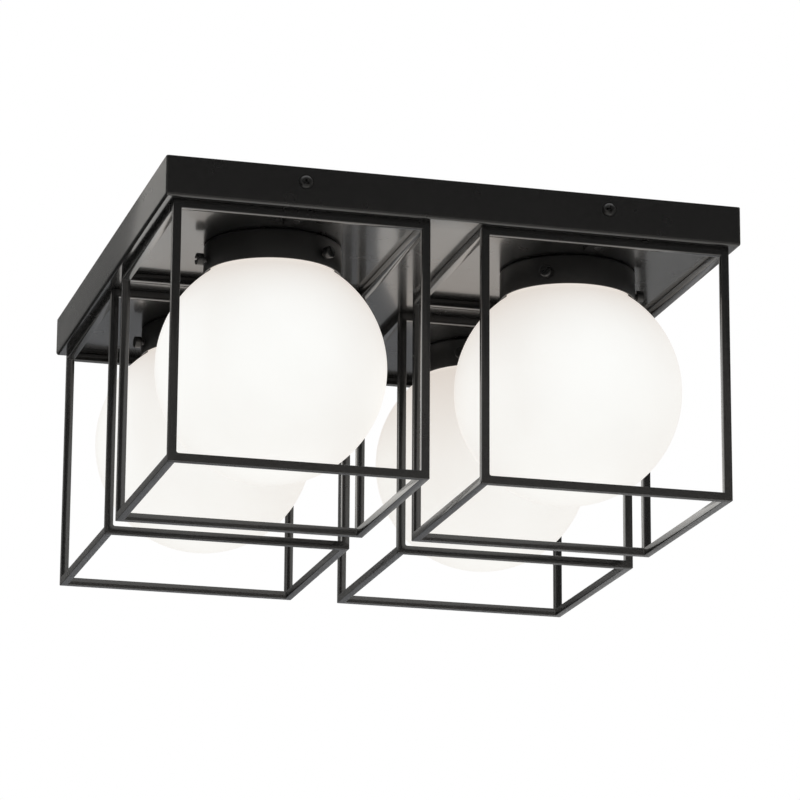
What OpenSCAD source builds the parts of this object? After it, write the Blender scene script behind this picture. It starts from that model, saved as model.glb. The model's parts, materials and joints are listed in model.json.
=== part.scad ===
// Flush mount ceiling light. A square sheet canopy carries four open cages of square bar. In each
// cage a glass globe hangs by its lipped neck in a drawn cup, held by three thumb screws.
// Millimetres. The origin is the middle of the ceiling plane, and +Z points up into the ceiling.

/* [Cages] */
// Outside width of a cage, both ways
cage_w = 158; // [154:1:200]
// Outside height of a cage
cage_h = 160; // [156:1:200]
// Side of the square bar
bar = 5; // [3:0.5:6]
// Gap between neighbouring cages
cage_gap = 32; // [20:1:60]
// Width of a fixing tab, along its bar
tab_w = 14; // [11:1:24]
// Reach of a fixing tab from its bar
tab_l = 20; // [14:1:26]
// Thickness of a fixing tab
tab_t = 2; // [1.5:0.5:3]

/* [Canopy] */
// Height of the canopy under the ceiling
canopy_h = 25; // [24:1:40]
// Canopy showing past the cages, all round
canopy_margin = 6; // [2:0.5:20]
// Sheet thickness
canopy_t = 1.2; // [0.8:0.1:1.6]
// Outside radius of the folded lower edges
canopy_bend = 2; // [1.8:0.1:4]
// Height of the side screws under the ceiling
side_screw_drop = 9.5; // [8:0.5:13]

/* [Holders] */
// Outside diameter of a holder cup
holder_d = 85; // [82:1:92]
// Depth of a holder cup
holder_h = 19; // [17:0.5:21]
// Wall of a holder cup
holder_t = 1; // [0.8:0.1:1.4]
// Outside radius between the cup's top and its wall
holder_bend = 2; // [1.6:0.1:3]

/* [Globes] */
// Outside diameter of a globe
globe_d = 142; // [130:1:144]
// Glass thickness
glass_t = 2.5; // [2:0.1:3]
// Step from the neck out to the lip
lip_step = 1.7; // [1.2:0.1:2]

/* [Thumb screws] */
// Diameter of the head
thumb_d = 7.5; // [6:0.5:9]
// Length of the head
thumb_l = 4.5; // [4:0.5:8]
// Diameter of the threaded shank
shank_d = 3.5; // [3:0.5:4]
// Shank showing between the cup and the head
shank_show = 1.9; // [1.5:0.1:6]
// Height of the screws above the cup's rim
thumb_rise = 7; // [5:0.5:8]

/* [Bulbs] */
// Diameter of the bulb
bulb_d = 60; // [40:1:62]
// Length of the bulb with its cap
bulb_l = 108; // [95:1:115]
// Diameter of the lamp cap
cap_d = 26; // [25.6:0.1:26.4]

/* [Mounting bracket] */
// Sheet thickness of the bracket
bracket_t = 1.5; // [1.2:0.1:2]
// Width of the two rails
rail_w = 24; // [18:1:30]
// Width of the crossbar
crossbar_w = 40; // [36:1:60]
// Distance between the middles of the two ceiling box slots
slot_spacing = 79.4; // [75:0.1:85]
// End to end length of a slot
slot_l = 14.5; // [10:0.1:20]
// Width of a slot
slot_w = 5; // [4:0.1:6]

/* [Fasteners] */
// Diameter of the machine screws
screw_d = 4; // [3:0.5:4.5]
// Diameter of their pan heads
head_d = 8; // [7:0.5:9]
// Diameter of the hollow nipples
nipple_d = 10; // [9.5:0.1:12]

/* [Leads] */
// Diameter of an insulated lead
lead_d = 1.8; // [1.4:0.1:1.9]
// Radius of a bend, on the lead's middle line
lead_bend = 4; // [3:0.5:4]

/* [Hidden] */
$fn = 64;
// One overrun for every cut
over = 1;
// Running fit of a thumb screw in its collar, on the radius
run_fit = 0.05;
// Seats that must not touch
seat_gap = 0.3;
// Clearance of a screw through a plain hole, on the radius
hole_gap = 0.25;
// Clearance of a screw in its tapped hole, on the radius
thread_gap = 0.05;

// Plain and tapped holes of the machine screws, and the nipples' plain holes
screw_hole = screw_d + 2 * hole_gap;
tap_hole = screw_d + 2 * thread_gap;
nipple_hole = nipple_d + 2 * hole_gap;

// Plan of the light
pitch = cage_w + cage_gap;
canopy_w = pitch + cage_w + 2 * canopy_margin;
CORNER = ["front_left", "front_right", "rear_left", "rear_right"];
SIDE_X = [-1, 1, -1, 1];
SIDE_Y = [-1, -1, 1, 1];
// Directions of the thumb screws round each holder, and the turn of each screw's slot
SCREW_TURN = [[184, 304, 64], [236, 356, 116], [184, 304, 64], [236, 356, 116]];
SLOT_TURN = [[80, 35, 10], [120, 15, 60], [165, 90, 45], [50, 5, 100]];
SCREWS = [0, 1, 2];

// Heights, down from the ceiling
floor_top = -(canopy_h - canopy_t);
floor_under = -canopy_h;
cup_roof = floor_under - holder_t;
rim_z = floor_under - holder_h;
thumb_z = rim_z + thumb_rise;

// Thumb screw collars, pressed inwards from the cup's wall
collar_d = 6;
collar_l = 1.3;
collar_root = 0.5;
cup_r = holder_d / 2;
cup_in = cup_r - holder_t;
collar_r = cup_in - collar_l;

// Glass neck: the lip passes the collars and stands over the screws
lip_gap = 0.5;
lip_r = collar_r - lip_gap;
neck_r = lip_r - lip_step;
lip_under = thumb_z + shank_d / 2 + seat_gap;
lip_roof_gap = 3.5;
lip_top = cup_roof - lip_roof_gap;
rim_gap = 0.9;
globe_r = globe_d / 2;
globe_z = rim_z - rim_gap - sqrt(globe_r * globe_r - cup_in * cup_in);

// Thumb screws, along their own axis
tip_r = neck_r + seat_gap;
thumb_in = cup_r + shank_show;
thumb_out = thumb_in + thumb_l;
thumb_edge = 0.6;
tip_edge = 0.4;
slot_cut_w = 1.2;
slot_cut_l = 1.5;

// Pan heads with their cross recess
head_h = 2.4;
head_rim = 0.8;
recess_w = 1;
recess_l = 4.4;
recess_h = 1.2;
side_screw_l = 9;
cage_screw_tip = 0.5;
tab_hole_share = 0.6;

// Bracket tabs that the side screws thread into
tab_gap = 0.5;
bracket_bend = 3;
bracket_end = canopy_w / 2 - canopy_t - tab_gap;
bracket_tab_h = 16;
wire_hole_d = 22;
ground_x_share = 0.75;
rail_x = pitch / 2;
ground_x = rail_x * ground_x_share;

// Ground stud on the canopy, and the ring lugs on the ground wire
stud_h = 8;
stud_clear = 12;
stud_y = crossbar_w / 2 + stud_clear;
lug_t = 0.8;
lug_d = 8;
nut_w = 7;
nut_h = 3;

// Nipple, lock washer and nut in each holder
nipple_bore = 7;
nipple_up = 4.3;
nipple_down = 7;
washer_d = 18;
washer_t = 0.8;
nipple_nut_w = 15;
nipple_nut_h = 3;

// Lampholder, its screw shell and its centre contact
boss_d = 24;
boss_h = 8;
body_wall = 4.4;
body_h = 34;
body_edge = 2;
web_t = 4;
shell_t = 0.8;
shell_gap = 0.5;
cap_gap = 0.5;
shell_r = cap_d / 2 + cap_gap + shell_t;
socket_bore_r = shell_r + seat_gap;
body_d = 2 * (socket_bore_r + body_wall);
boss_z = cup_roof - boss_h;
body_z = boss_z - body_h;
web_z = boss_z - web_t;
shell_top = web_z - seat_gap;
shell_end = body_z + shell_gap;
flange_in = 9;
tongue_w = 3;
tongue_in = 0.8;
pad_out = 6;
pad_in = 0.6;
leaf_drop = 2.7;
leaf_reach = 3;

// Bulb, hanging from the centre contact
bulb_top = shell_top - leaf_drop - shell_t - seat_gap;
cap_tip_d = 9;
cap_taper = 4;
cap_l = 25.5;
cap_end = bulb_top - cap_l;
bulb_neck_d = 25;
bulb_glass_t = 1;
bulb_r = bulb_d / 2;
bulb_z = bulb_top - bulb_l + bulb_r;

// Twist-on connectors and the two levels on which the leads run
nut_mouth_r = 5.5;
nut_tip_r = 4;
nut_bore_r = 4.4;
nut_len = 20;
nut_wall = 3;
lead_in = 5;
ceiling_gap = 1;
floor_gap = 4.3;
black_z = -(bracket_t + ceiling_gap + nut_mouth_r);
white_z = floor_top + floor_gap + nut_mouth_r;
black_y = -crossbar_w * 0.625;
white_y = -black_y;
lane = lead_d + 0.2;
bypass = 2 * nut_mouth_r + 2;
turn_x = -(2 * lead_bend + 2);
lead_x = lead_d / 2 + 0.3;
lead_end = web_z + seat_gap;

// Places

module at_corner(i) {
  translate([SIDE_X[i] * pitch / 2, SIDE_Y[i] * pitch / 2, 0]) children();
}

module at_corners() {
  for (i = [0:3]) at_corner(i) children();
}

// The tapped places in the two tabs of each cage, on the canopy's underside
module at_cage_tabs() {
  for (s = [-1, 1]) translate([0, s * (cage_w / 2 - bar - tab_l * tab_hole_share), floor_under]) children();
}

// The four side screws, with +Z of the child pointing out of the canopy
module at_side_screws() {
  for (x = [-rail_x, rail_x], s = [-1, 1])
    translate([x, s * canopy_w / 2, -side_screw_drop]) rotate([-90 * s, 0, 0]) children();
}

// Shared shapes

// A round cut right through a wall of thickness h that stands on zero
module through(d, h) {
  translate([0, 0, -over]) cylinder(d = d, h = h + 2 * over);
}

// Pan head screw: the head's flat face is at zero, the shank runs down from it
module pan_screw(shank_l) {
  difference() {
    rotate_extrude() polygon([
      [0, -shank_l],
      [screw_d / 2 - tip_edge, -shank_l],
      [screw_d / 2, tip_edge - shank_l],
      [screw_d / 2, 0],
      [head_d / 2, 0],
      [head_d / 2, head_rim],
      [head_d * 0.46, head_h * 0.7],
      [head_d * 0.34, head_h * 0.95],
      [head_d * 0.2, head_h],
      [0, head_h]
    ]);
    for (turn = [0, 90]) rotate([0, 0, turn]) translate([-recess_l / 2, -recess_w / 2, head_h - recess_h])
      cube([recess_l, recess_w, recess_h + over]);
  }
}

module hex_nut(w, h, bore) {
  difference() {
    cylinder(d = w / cos(30), h = h, $fn = 6);
    through(bore, h);
  }
}

// Section of a pan with rounded lower corners, from the height top down
module pan_section(w, h, r, top) {
  translate([-w / 2, r - h]) square([w, h - r + top]);
  translate([r - w / 2, -h]) square([w - 2 * r, h]);
  for (s = [-1, 1]) translate([s * (w / 2 - r), r - h]) circle(r);
}

module pan_solid(w, h, r, top) {
  intersection() {
    rotate([90, 0, 0]) linear_extrude(2 * w, center = true) pan_section(w, h, r, top);
    rotate([90, 0, 90]) linear_extrude(2 * w, center = true) pan_section(w, h, r, top);
  }
}

// Canopy and what fixes it

module canopy() {
  color("#1f1f1f") {
    difference() {
      pan_solid(canopy_w, canopy_h, canopy_bend, 0);
      pan_solid(canopy_w - 2 * canopy_t, canopy_h - canopy_t, canopy_bend - canopy_t, over);
      at_corners() {
        translate([0, 0, floor_under]) through(nipple_hole, canopy_t);
        at_cage_tabs() through(screw_hole, canopy_t);
      }
      at_side_screws() translate([0, 0, -canopy_t]) through(screw_hole, canopy_t);
    }
    translate([ground_x, stud_y, floor_top - canopy_t / 2])
      cylinder(d = screw_d, h = stud_h + canopy_t / 2);
  }
}

module canopy_screws() {
  color("#262626") at_side_screws() pan_screw(side_screw_l);
}

module mounting_bracket() {
  color("#b8bcc0") difference() {
    union() {
      for (x = [-rail_x, rail_x]) translate([x, 0, 0]) rotate([90, 0, 90])
        linear_extrude(rail_w, center = true) rail_section();
      translate([-rail_x, -crossbar_w / 2, -bracket_t]) cube([2 * rail_x, crossbar_w, bracket_t]);
    }
    translate([0, 0, -bracket_t]) {
      for (s = [-1, 1]) translate([s * slot_spacing / 2, 0, 0]) box_slot();
      through(wire_hole_d, bracket_t);
      translate([ground_x, 0, 0]) through(tap_hole, bracket_t);
    }
    at_side_screws() translate([0, 0, -canopy_t - tab_gap - bracket_t]) through(tap_hole, bracket_t);
  }
}

// One rail seen from its side: flat on the ceiling, folded down at both ends
module rail_section() {
  flat = bracket_end - bracket_bend;
  translate([-flat, -bracket_t]) square([2 * flat, bracket_t]);
  for (s = [0, 1]) mirror([s, 0, 0]) {
    translate([flat, -bracket_bend]) intersection() {
      difference() {
        circle(bracket_bend);
        circle(bracket_bend - bracket_t);
      }
      square([bracket_bend, bracket_bend]);
    }
    translate([bracket_end - bracket_t, -bracket_tab_h]) square([bracket_t, bracket_tab_h - bracket_bend]);
  }
}

module box_slot() {
  run = slot_l - slot_w;
  translate([-run / 2, -slot_w / 2, -over]) cube([run, slot_w, bracket_t + 2 * over]);
  for (s = [-1, 1]) translate([s * run / 2, 0, 0]) through(slot_w, bracket_t);
}

module ground_screw() {
  color("#3c7a45") translate([ground_x, 0, -bracket_t - lug_t - 2 * thread_gap]) rotate([180, 0, 0])
    pan_screw(bracket_t + lug_t);
}

module ground_nut() {
  color("#b8bcc0") translate([ground_x, stud_y, floor_top + lug_t + 2 * thread_gap])
    hex_nut(nut_w, nut_h, tap_hole);
}

// Ring lug with its barrel pointing along +X
module ring_lug() {
  difference() {
    union() {
      cylinder(d = lug_d, h = lug_t);
      translate([0, -lead_d / 2, 0]) cube([lug_d, lead_d, lug_t]);
    }
    through(screw_hole, lug_t);
  }
}

// Ground wire: out from the bracket's screw, across to the stud, and down to the floor
module ground_wire() {
  top_z = -bracket_t - lug_t - thread_gap;
  low_z = floor_top + thread_gap;
  run_x = ground_x + lug_d + lead_d + 2 * lead_bend;
  color("#4f8f4a") {
    translate([ground_x, 0, top_z]) ring_lug();
    translate([ground_x, stud_y, low_z]) ring_lug();
    lead([
      [ground_x + lug_d - lead_d, 0, top_z - lead_d / 2 + lug_t],
      [run_x, 0, top_z - lead_d / 2 + lug_t],
      [run_x, stud_y, top_z - lead_d / 2 + lug_t],
      [run_x, stud_y, low_z + lead_d / 2],
      [ground_x + lug_d - lead_d, stud_y, low_z + lead_d / 2]
    ]);
  }
}

// Cages

// Twelve bars, the upper four against the canopy, and two drilled tabs inside them
module cage() {
  color("#1f1f1f") difference() {
    union() {
      for (turn = [0:90:270]) rotate([0, 0, turn]) {
        translate([cage_w / 2 - bar, cage_w / 2 - bar, floor_under - cage_h]) cube([bar, bar, cage_h]);
        for (z = [floor_under - bar, floor_under - cage_h])
          translate([-cage_w / 2, cage_w / 2 - bar, z]) cube([cage_w, bar, bar]);
      }
      for (s = [0, 1]) mirror([0, s, 0])
        translate([-tab_w / 2, cage_w / 2 - bar - tab_l, floor_under - tab_t])
          cube([tab_w, tab_l + bar / 2, tab_t]);
    }
    at_cage_tabs() translate([0, 0, -tab_t]) through(tap_hole, tab_t);
  }
}

module cage_screws() {
  color("#b8bcc0") at_corners() at_cage_tabs() translate([0, 0, canopy_t])
    pan_screw(canopy_t + tab_t + cage_screw_tip);
}

// Holders and their fixing

module holder_section() {
  inner = nipple_hole / 2;
  flat = cup_r - holder_bend;
  translate([inner, -holder_t]) square([flat - inner, holder_t]);
  translate([cup_in, -holder_h]) square([holder_t, holder_h - holder_bend]);
  translate([flat, -holder_bend]) intersection() {
    difference() {
      circle(holder_bend);
      circle(holder_bend - holder_t);
    }
    square([holder_bend, holder_bend]);
  }
}

module holder(i) {
  color("#1f1f1f") difference() {
    union() {
      translate([0, 0, floor_under]) rotate_extrude() holder_section();
      for (turn = SCREW_TURN[i]) rotate([0, 0, turn]) translate([collar_r, 0, thumb_z])
        rotate([0, 90, 0]) cylinder(d = collar_d, h = collar_l + collar_root);
    }
    for (turn = SCREW_TURN[i]) rotate([0, 0, turn]) translate([collar_r - over, 0, thumb_z])
      rotate([0, 90, 0]) cylinder(d = shank_d + 2 * run_fit, h = collar_l + holder_t + 2 * over);
  }
}

module thumb_screw(i, k) {
  sr = shank_d / 2;
  hr = thumb_d / 2;
  color("#2a2a2a") rotate([0, 0, SCREW_TURN[i][k]]) translate([0, 0, thumb_z]) rotate([0, 90, 0])
    difference() {
      rotate_extrude() polygon([
        [0, tip_r],
        [sr - tip_edge, tip_r],
        [sr, tip_r + tip_edge],
        [sr, thumb_in],
        [hr - thumb_edge, thumb_in],
        [hr, thumb_in + thumb_edge],
        [hr, thumb_out - thumb_edge],
        [hr - thumb_edge, thumb_out],
        [0, thumb_out]
      ]);
      rotate([0, 0, SLOT_TURN[i][k]]) translate([-hr - over, -slot_cut_w / 2, thumb_out - slot_cut_l])
        cube([thumb_d + 2 * over, slot_cut_w, slot_cut_l + over]);
    }
}

module nipples() {
  nipple_end = cup_roof - nipple_down;
  nipple_l = floor_top + nipple_up - nipple_end;
  color("#c9a455") at_corners() translate([0, 0, nipple_end]) difference() {
    cylinder(d = nipple_d, h = nipple_l);
    through(nipple_bore, nipple_l);
  }
}

module nipple_washers() {
  color("#b8bcc0") at_corners() translate([0, 0, floor_top]) difference() {
    cylinder(d = washer_d, h = washer_t);
    through(nipple_hole, washer_t);
  }
}

module nipple_nuts() {
  color("#c9a455") at_corners() translate([0, 0, floor_top + washer_t])
    hex_nut(nipple_nut_w, nipple_nut_h, nipple_d + 2 * thread_gap);
}

// Globe: a ball with a neck that ends in a rounded lip. The bore also takes off a small ball's
// crown, which stands above the lip.

module globe() {
  lip_round = min(lip_step, (lip_top - lip_under) / 3);
  bore_top = max(lip_top, globe_z + globe_r);
  color([0.97, 0.96, 0.93]) difference() {
    union() {
      translate([0, 0, globe_z]) sphere(globe_r, $fn = 128);
      translate([0, 0, lip_under]) rotate_extrude() {
        polygon([
          [0, globe_z - lip_under],
          [neck_r, globe_z - lip_under],
          [neck_r, 0],
          [lip_r, lip_step],
          [lip_r, lip_top - lip_under - lip_round],
          [lip_r - lip_round, lip_top - lip_under - lip_round],
          [lip_r - lip_round, lip_top - lip_under],
          [0, lip_top - lip_under]
        ]);
        translate([lip_r - lip_round, lip_top - lip_under - lip_round]) circle(lip_round);
      }
    }
    translate([0, 0, globe_z]) sphere(globe_r - glass_t, $fn = 128);
    translate([0, 0, globe_z]) cylinder(r = neck_r - glass_t, h = bore_top - globe_z + over);
  }
}

// Lampholder and bulb

module socket() {
  color("#f1efe9") difference() {
    rotate_extrude() polygon([
      [0, body_z],
      [body_d / 2 - body_edge, body_z],
      [body_d / 2, body_z + body_edge],
      [body_d / 2, boss_z - body_edge],
      [body_d / 2 - body_edge, boss_z],
      [boss_d / 2, boss_z],
      [boss_d / 2, cup_roof],
      [0, cup_roof]
    ]);
    translate([0, 0, body_z - over]) cylinder(r = socket_bore_r, h = web_z - body_z + over);
    translate([0, 0, web_z]) through(nipple_bore, web_t + boss_h);
    translate([0, 0, cup_roof - nipple_down - seat_gap])
      cylinder(d = nipple_d + 2 * thread_gap, h = nipple_down + seat_gap + over);
  }
}

module screw_shell() {
  color("#c9a455") {
    translate([0, 0, shell_end]) difference() {
      cylinder(r = shell_r, h = shell_top - shell_end);
      translate([0, 0, -over]) cylinder(r = shell_r - shell_t, h = shell_top - shell_end - shell_t + over);
      cylinder(r = flange_in, h = shell_top - shell_end + over);
    }
    translate([tongue_in, -tongue_w / 2, shell_top - shell_t])
      cube([flange_in + shell_t - tongue_in, tongue_w, shell_t]);
  }
}

// A leaf that hangs from its pad beside the tongue and reaches under the middle
module socket_contacts() {
  color("#c9a455") at_corners() translate([-pad_out, -tongue_w / 2, shell_top - shell_t - leaf_drop]) {
    translate([0, 0, leaf_drop]) cube([pad_out - pad_in, tongue_w, shell_t]);
    cube([shell_t, tongue_w, leaf_drop + shell_t]);
    cube([pad_out + leaf_reach, tongue_w, shell_t]);
  }
}

module lamp_cap() {
  color("#b8bcc0") rotate_extrude() polygon([
    [0, cap_end],
    [cap_d / 2, cap_end],
    [cap_d / 2, bulb_top - cap_taper],
    [cap_tip_d / 2, bulb_top],
    [0, bulb_top]
  ]);
}

// Ball and cone of one radius pair, the cone tangent to the ball, open at the neck
module bulb_solid(ball_r, neck_r, top) {
  rise = cap_end - bulb_z;
  lean = asin((ball_r - neck_r) / rise);
  translate([0, 0, bulb_z]) {
    sphere(ball_r, $fn = 96);
    translate([0, 0, ball_r * sin(lean)])
      cylinder(r1 = ball_r * cos(lean), r2 = neck_r, h = rise - ball_r * sin(lean) + top);
  }
}

module bulb() {
  color([1, 1, 1]) difference() {
    bulb_solid(bulb_r, bulb_neck_d / 2, 0);
    bulb_solid(bulb_r - bulb_glass_t, bulb_neck_d / 2 - bulb_glass_t, over);
  }
}

// Leads

function unit(v) = v / norm(v);

// Quarter turn from direction a to direction b at the point p
module elbow(p, a, b) {
  n = cross(-b, a);
  c = p - a * lead_bend + b * lead_bend;
  multmatrix([
    [-b[0], a[0], n[0], c[0]],
    [-b[1], a[1], n[1], c[1]],
    [-b[2], a[2], n[2], c[2]],
    [0, 0, 0, 1]
  ]) rotate_extrude(angle = 90) translate([lead_bend, 0]) circle(d = lead_d, $fn = 24);
}

// Straight round wire from p to q, along an axis
module straight(p, q) {
  d = unit(q - p);
  translate(p) rotate([0, 0, atan2(d[1], d[0])]) rotate([0, acos(d[2]), 0])
    cylinder(d = lead_d, h = norm(q - p), $fn = 24);
}

// Insulated wire along square corners, each rounded to the bend radius
module lead(points) {
  last = len(points) - 1;
  for (i = [0:last - 1]) {
    d = unit(points[i + 1] - points[i]);
    straight(points[i] + d * (i > 0 ? lead_bend : 0), points[i + 1] - d * (i < last - 1 ? lead_bend : 0));
  }
  for (i = [1:last - 1]) elbow(points[i], unit(points[i] - points[i - 1]), unit(points[i + 1] - points[i]));
}

// The four leads of one colour: up the nipples on the side x_off, along the level z, and into the
// connector whose middle line is y_nut. Those from the right pass it and turn back.
module colour_leads(x_off, z, y_nut) {
  for (i = [0:3]) {
    x = SIDE_X[i] * pitch / 2 + x_off;
    y = SIDE_Y[i] * pitch / 2;
    if (SIDE_X[i] < 0) {
      y_in = y_nut + SIDE_Y[i] * lane / 2;
      lead([[x, y, lead_end], [x, y, z], [x, y_in, z], [lead_in, y_in, z]]);
    } else {
      y_in = y_nut + SIDE_Y[i] * lane * 3 / 2;
      y_by = y_nut + SIDE_Y[i] * bypass;
      lead([
        [x, y, lead_end],
        [x, y, z],
        [x, y_by, z],
        [turn_x, y_by, z],
        [turn_x, y_in, z],
        [lead_in, y_in, z]
      ]);
    }
  }
}

module wire_connector(y, z) {
  translate([0, y, z]) rotate([0, 90, 0]) difference() {
    cylinder(r1 = nut_mouth_r, r2 = nut_tip_r, h = nut_len);
    translate([0, 0, -over]) cylinder(r = nut_bore_r, h = lead_in + nut_wall + over);
  }
}

module wire_connectors() {
  color("#b5482f") {
    wire_connector(black_y, black_z);
    wire_connector(white_y, white_z);
  }
}

module black_leads() {
  color("#1b1b1b") colour_leads(-lead_x, black_z, black_y);
}

module white_leads() {
  color("#e9e7e1") colour_leads(lead_x, white_z, white_y);
}

canopy();
canopy_screws();
cage_screws();
mounting_bracket();
ground_screw();
ground_nut();
ground_wire();
nipples();
nipple_washers();
nipple_nuts();
socket_contacts();
black_leads();
white_leads();
wire_connectors();
for (i = [0:3]) {
  at_corner(i) cage();
  at_corner(i) holder(i);
  at_corner(i) globe();
  at_corner(i) socket();
  at_corner(i) screw_shell();
  at_corner(i) bulb();
  at_corner(i) lamp_cap();
  for (k = SCREWS)
    at_corner(i) thumb_screw(i, k);
}
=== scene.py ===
import json
import math

import bmesh
import bpy
from mathutils import Matrix, Vector

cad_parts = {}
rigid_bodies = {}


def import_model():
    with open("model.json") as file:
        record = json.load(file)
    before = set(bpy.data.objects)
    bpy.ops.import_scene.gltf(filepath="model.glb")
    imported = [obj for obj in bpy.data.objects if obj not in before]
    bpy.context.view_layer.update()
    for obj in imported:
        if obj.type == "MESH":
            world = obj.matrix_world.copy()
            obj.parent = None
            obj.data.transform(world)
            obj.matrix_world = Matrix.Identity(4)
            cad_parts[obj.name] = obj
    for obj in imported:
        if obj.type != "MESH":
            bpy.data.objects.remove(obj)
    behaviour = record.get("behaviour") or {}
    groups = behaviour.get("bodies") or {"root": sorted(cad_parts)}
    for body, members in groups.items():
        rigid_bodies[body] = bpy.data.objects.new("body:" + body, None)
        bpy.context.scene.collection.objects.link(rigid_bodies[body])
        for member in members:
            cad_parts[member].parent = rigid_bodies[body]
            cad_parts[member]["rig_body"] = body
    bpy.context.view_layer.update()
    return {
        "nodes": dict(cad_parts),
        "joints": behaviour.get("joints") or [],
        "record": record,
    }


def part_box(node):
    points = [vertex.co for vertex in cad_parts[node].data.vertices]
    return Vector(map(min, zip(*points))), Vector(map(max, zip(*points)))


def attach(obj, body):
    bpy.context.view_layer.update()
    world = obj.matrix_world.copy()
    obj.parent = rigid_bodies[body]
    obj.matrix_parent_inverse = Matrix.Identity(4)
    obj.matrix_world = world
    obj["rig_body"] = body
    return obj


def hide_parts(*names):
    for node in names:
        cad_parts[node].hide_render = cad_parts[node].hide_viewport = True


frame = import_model()
nodes = frame["nodes"]
MM = 0.001
CORNERS = ("front_left", "front_right", "rear_left", "rear_right")
THUMB_LEVEL = sum(v.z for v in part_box("thumb_screw_front_left_1")) / 2 / MM
SIDEWAYS = Matrix.Rotation(math.pi / 2, 4, "Y")     # turns a lathe's axis from up to the right


# Colours and materials

# Where a ramp's two stops stand, on a noise's scale from 0 to 1
NOISE_BAND = (0.3, 0.7)


def linear(hex_colour):
    """An sRGB hex value as a linear colour with full alpha."""
    parts = [int(hex_colour[i:i + 2], 16) / 255 for i in (1, 3, 5)]
    return [c / 12.92 if c <= 0.04045 else ((c + 0.055) / 1.055) ** 2.4 for c in parts] + [1.0]


def add(tree, kind, settings=None, wires=None, stops=()):
    """One shader node: settings by property or socket name, wires from other nodes or their
    sockets, and for a ramp its two stops as colours or plain values."""
    node = tree.nodes.new("ShaderNode" + kind)
    for name, value in (settings or {}).items():
        if hasattr(node, name):
            setattr(node, name, value)
        else:
            node.inputs[name].default_value = value
    if stops:
        for stop, place, value in zip(node.color_ramp.elements, NOISE_BAND, stops):
            stop.position = place
            stop.color = linear(value) if isinstance(value, str) else (value, value, value, 1.0)
    wire(tree, node, wires or {})
    return node


def wire(tree, node, wires):
    """Links each input named to another node's first output, or to the socket given."""
    for name, source in wires.items():
        tree.links.new(getattr(source, "outputs", [source])[0], node.inputs[name])


def per_metre(size_mm):
    """Scale of a noise whose features are size_mm across."""
    return 1000 / size_mm


def surface(name, colour, **shader):
    """A material with its shader and output, and the coordinates its patterns are measured in."""
    mat = bpy.data.materials.new(name)
    mat.use_nodes = True
    tree = mat.node_tree
    tree.nodes.clear()
    values = {"Base Color": linear(colour)}
    values.update({key.replace("_", " "): value for key, value in shader.items()})
    bsdf = add(tree, "BsdfPrincipled", values)
    add(tree, "OutputMaterial", wires={"Surface": bsdf})
    place = add(tree, "TexCoord").outputs["Object"]
    return mat, tree, bsdf, place


def powder_coat(name, rough, coat_rough, coat_weight):
    # Polyester powder coat, sprayed on steel and baked: a black skin whose fine orange peel softens
    # each reflection a little and leaves no brush direction.
    spread = 0.015
    mat, tree, bsdf, place = surface(
        name, "#141414", Roughness=rough, IOR=1.5, Coat_Roughness=coat_rough,
        Coat_Weight=coat_weight)
    peel = add(tree, "TexNoise", {"Scale": per_metre(1.1), "Detail": 3.0}, {"Vector": place})
    flow = add(tree, "TexNoise", {"Scale": per_metre(14), "Detail": 2.0}, {"Vector": place})
    blacks = add(tree, "ValToRGB", wires={"Fac": peel}, stops=("#111111", "#171717"))
    sheen = add(tree, "ValToRGB", wires={"Fac": flow}, stops=(rough - spread, rough + spread))
    bump = add(tree, "Bump", {"Strength": 0.03, "Distance": 0.00008}, {"Height": peel})
    wire(tree, bsdf, {"Base Color": blacks, "Roughness": sheen, "Normal": bump})
    return mat


def black_electrocoat():
    # Steel screws dipped in black electrocoat, a thin hard paint: as black as the canopy, with a
    # gloss that picks out the edges of heads and slots.
    mat, tree, bsdf, place = surface(
        "black_electrocoat", "#121212", Roughness=0.34, IOR=1.5, Coat_Weight=0.6,
        Coat_Roughness=0.07)
    turned = add(tree, "TexNoise", {"Scale": per_metre(0.8), "Detail": 2.0}, {"Vector": place})
    blacks = add(tree, "ValToRGB", wires={"Fac": turned}, stops=("#0F0F0F", "#151515"))
    sheen = add(tree, "ValToRGB", wires={"Fac": turned}, stops=(0.3, 0.38))
    wire(tree, bsdf, {"Base Color": blacks, "Roughness": sheen})
    return mat


def opal_glass():
    # Blown opal glass with a satin skin, lit from inside. Its milky wall lets the bulb's light out
    # warm and even, and throws the room's light back a little cooler, so the sum is a soft white.
    mat, tree, bsdf, place = surface(
        "satin_opal_glass", "#91A4AF", Roughness=0.5, IOR=1.45, Specular_IOR_Level=0.3,
        Emission_Strength=0.7, Emission_Color=linear("#FFF3E8"))
    clouds = add(tree, "TexNoise", {"Scale": per_metre(45), "Detail": 2.0}, {"Vector": place})
    milk = add(tree, "ValToRGB", wires={"Fac": clouds}, stops=("#8EA1AC", "#94A7B2"))
    wire(tree, bsdf, {"Base Color": milk})
    return mat


def bright_zinc():
    # Steel sheet and screws in bright zinc: a grey mirror with a slight bluish bloom.
    mat, tree, bsdf, place = surface("bright_zinc_plate", "#C3C7CA", Metallic=1.0, Roughness=0.3)
    bloom = add(tree, "TexNoise", {"Scale": per_metre(9), "Detail": 4.0}, {"Vector": place})
    greys = add(tree, "ValToRGB", wires={"Fac": bloom}, stops=("#B9BEC2", "#CFD2D3"))
    haze = add(tree, "ValToRGB", wires={"Fac": bloom}, stops=(0.27, 0.35))
    wire(tree, bsdf, {"Base Color": greys, "Roughness": haze})
    return mat


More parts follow.
